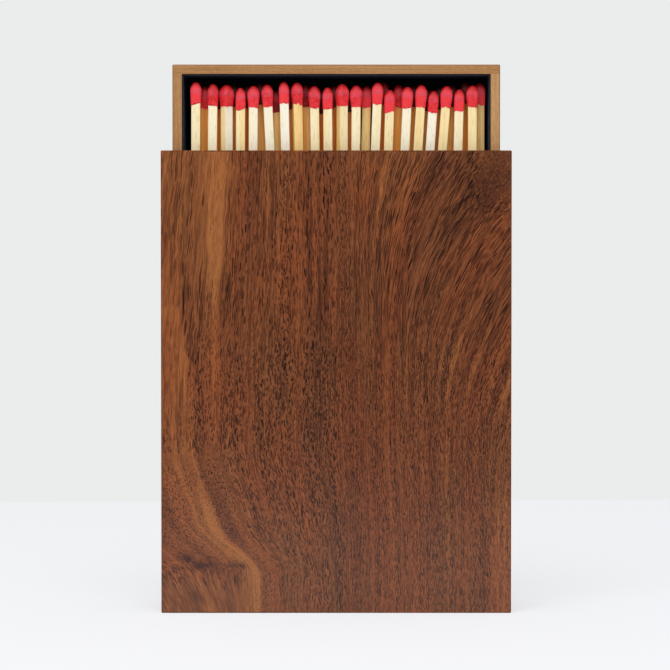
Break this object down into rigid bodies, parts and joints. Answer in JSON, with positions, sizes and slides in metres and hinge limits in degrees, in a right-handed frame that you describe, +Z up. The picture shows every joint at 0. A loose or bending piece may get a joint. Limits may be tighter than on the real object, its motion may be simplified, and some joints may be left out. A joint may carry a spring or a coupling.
{
  "type": "matchbox holder",
  "caption": "Upright walnut matchbox sleeve with a black-lined wooden tray of long red-headed matches that slides up out of it.",
  "frame": {"origin": "middle of the sleeve's foot, on the surface that the holder stands on", "axes": "+Z up along the slide of the tray, +X to the right across the front panel, +Y from the front panel to the back panel"},
  "size_m": [0.112, 0.036, 0.1755],
  "materials": {
    "walnut": "oiled satin walnut",
    "striking_surface": "rough dark red-brown striking coat",
    "tray_wood": "satin golden-brown hardwood",
    "black_lining": "matt black card",
    "match_wood": "raw pale splint wood",
    "match_head": "dry chalky red"
  },
  "bodies": {
    "sleeve": {"sleeve_front_panel": "walnut", "sleeve_back_panel": "walnut", "sleeve_left_side": "walnut", "sleeve_right_side": "walnut", "left_striker_strip": "striking_surface", "right_striker_strip": "striking_surface"},
    "tray": {"tray_floor": "tray_wood", "tray_left_side": "tray_wood", "tray_right_side": "tray_wood", "tray_top_end": "tray_wood", "tray_bottom_end": "tray_wood", "floor_lining": "black_lining", "left_lining": "black_lining", "right_lining": "black_lining", "top_end_lining": "black_lining", "bottom_end_lining": "black_lining", "match_sticks_front_row": "match_wood", "match_sticks_second_row": "match_wood", "match_sticks_back_rows": "match_wood", "match_heads_front_row": "match_head", "match_heads_second_row": "match_head", "match_heads_back_rows": "match_head"}
  },
  "joints": [
    {"name": "tray_slide", "type": "slide", "parent": "sleeve", "child": "tray", "axis": [0, 0, 1], "range_m": [-0.0275, 0.1205]}
  ]
}
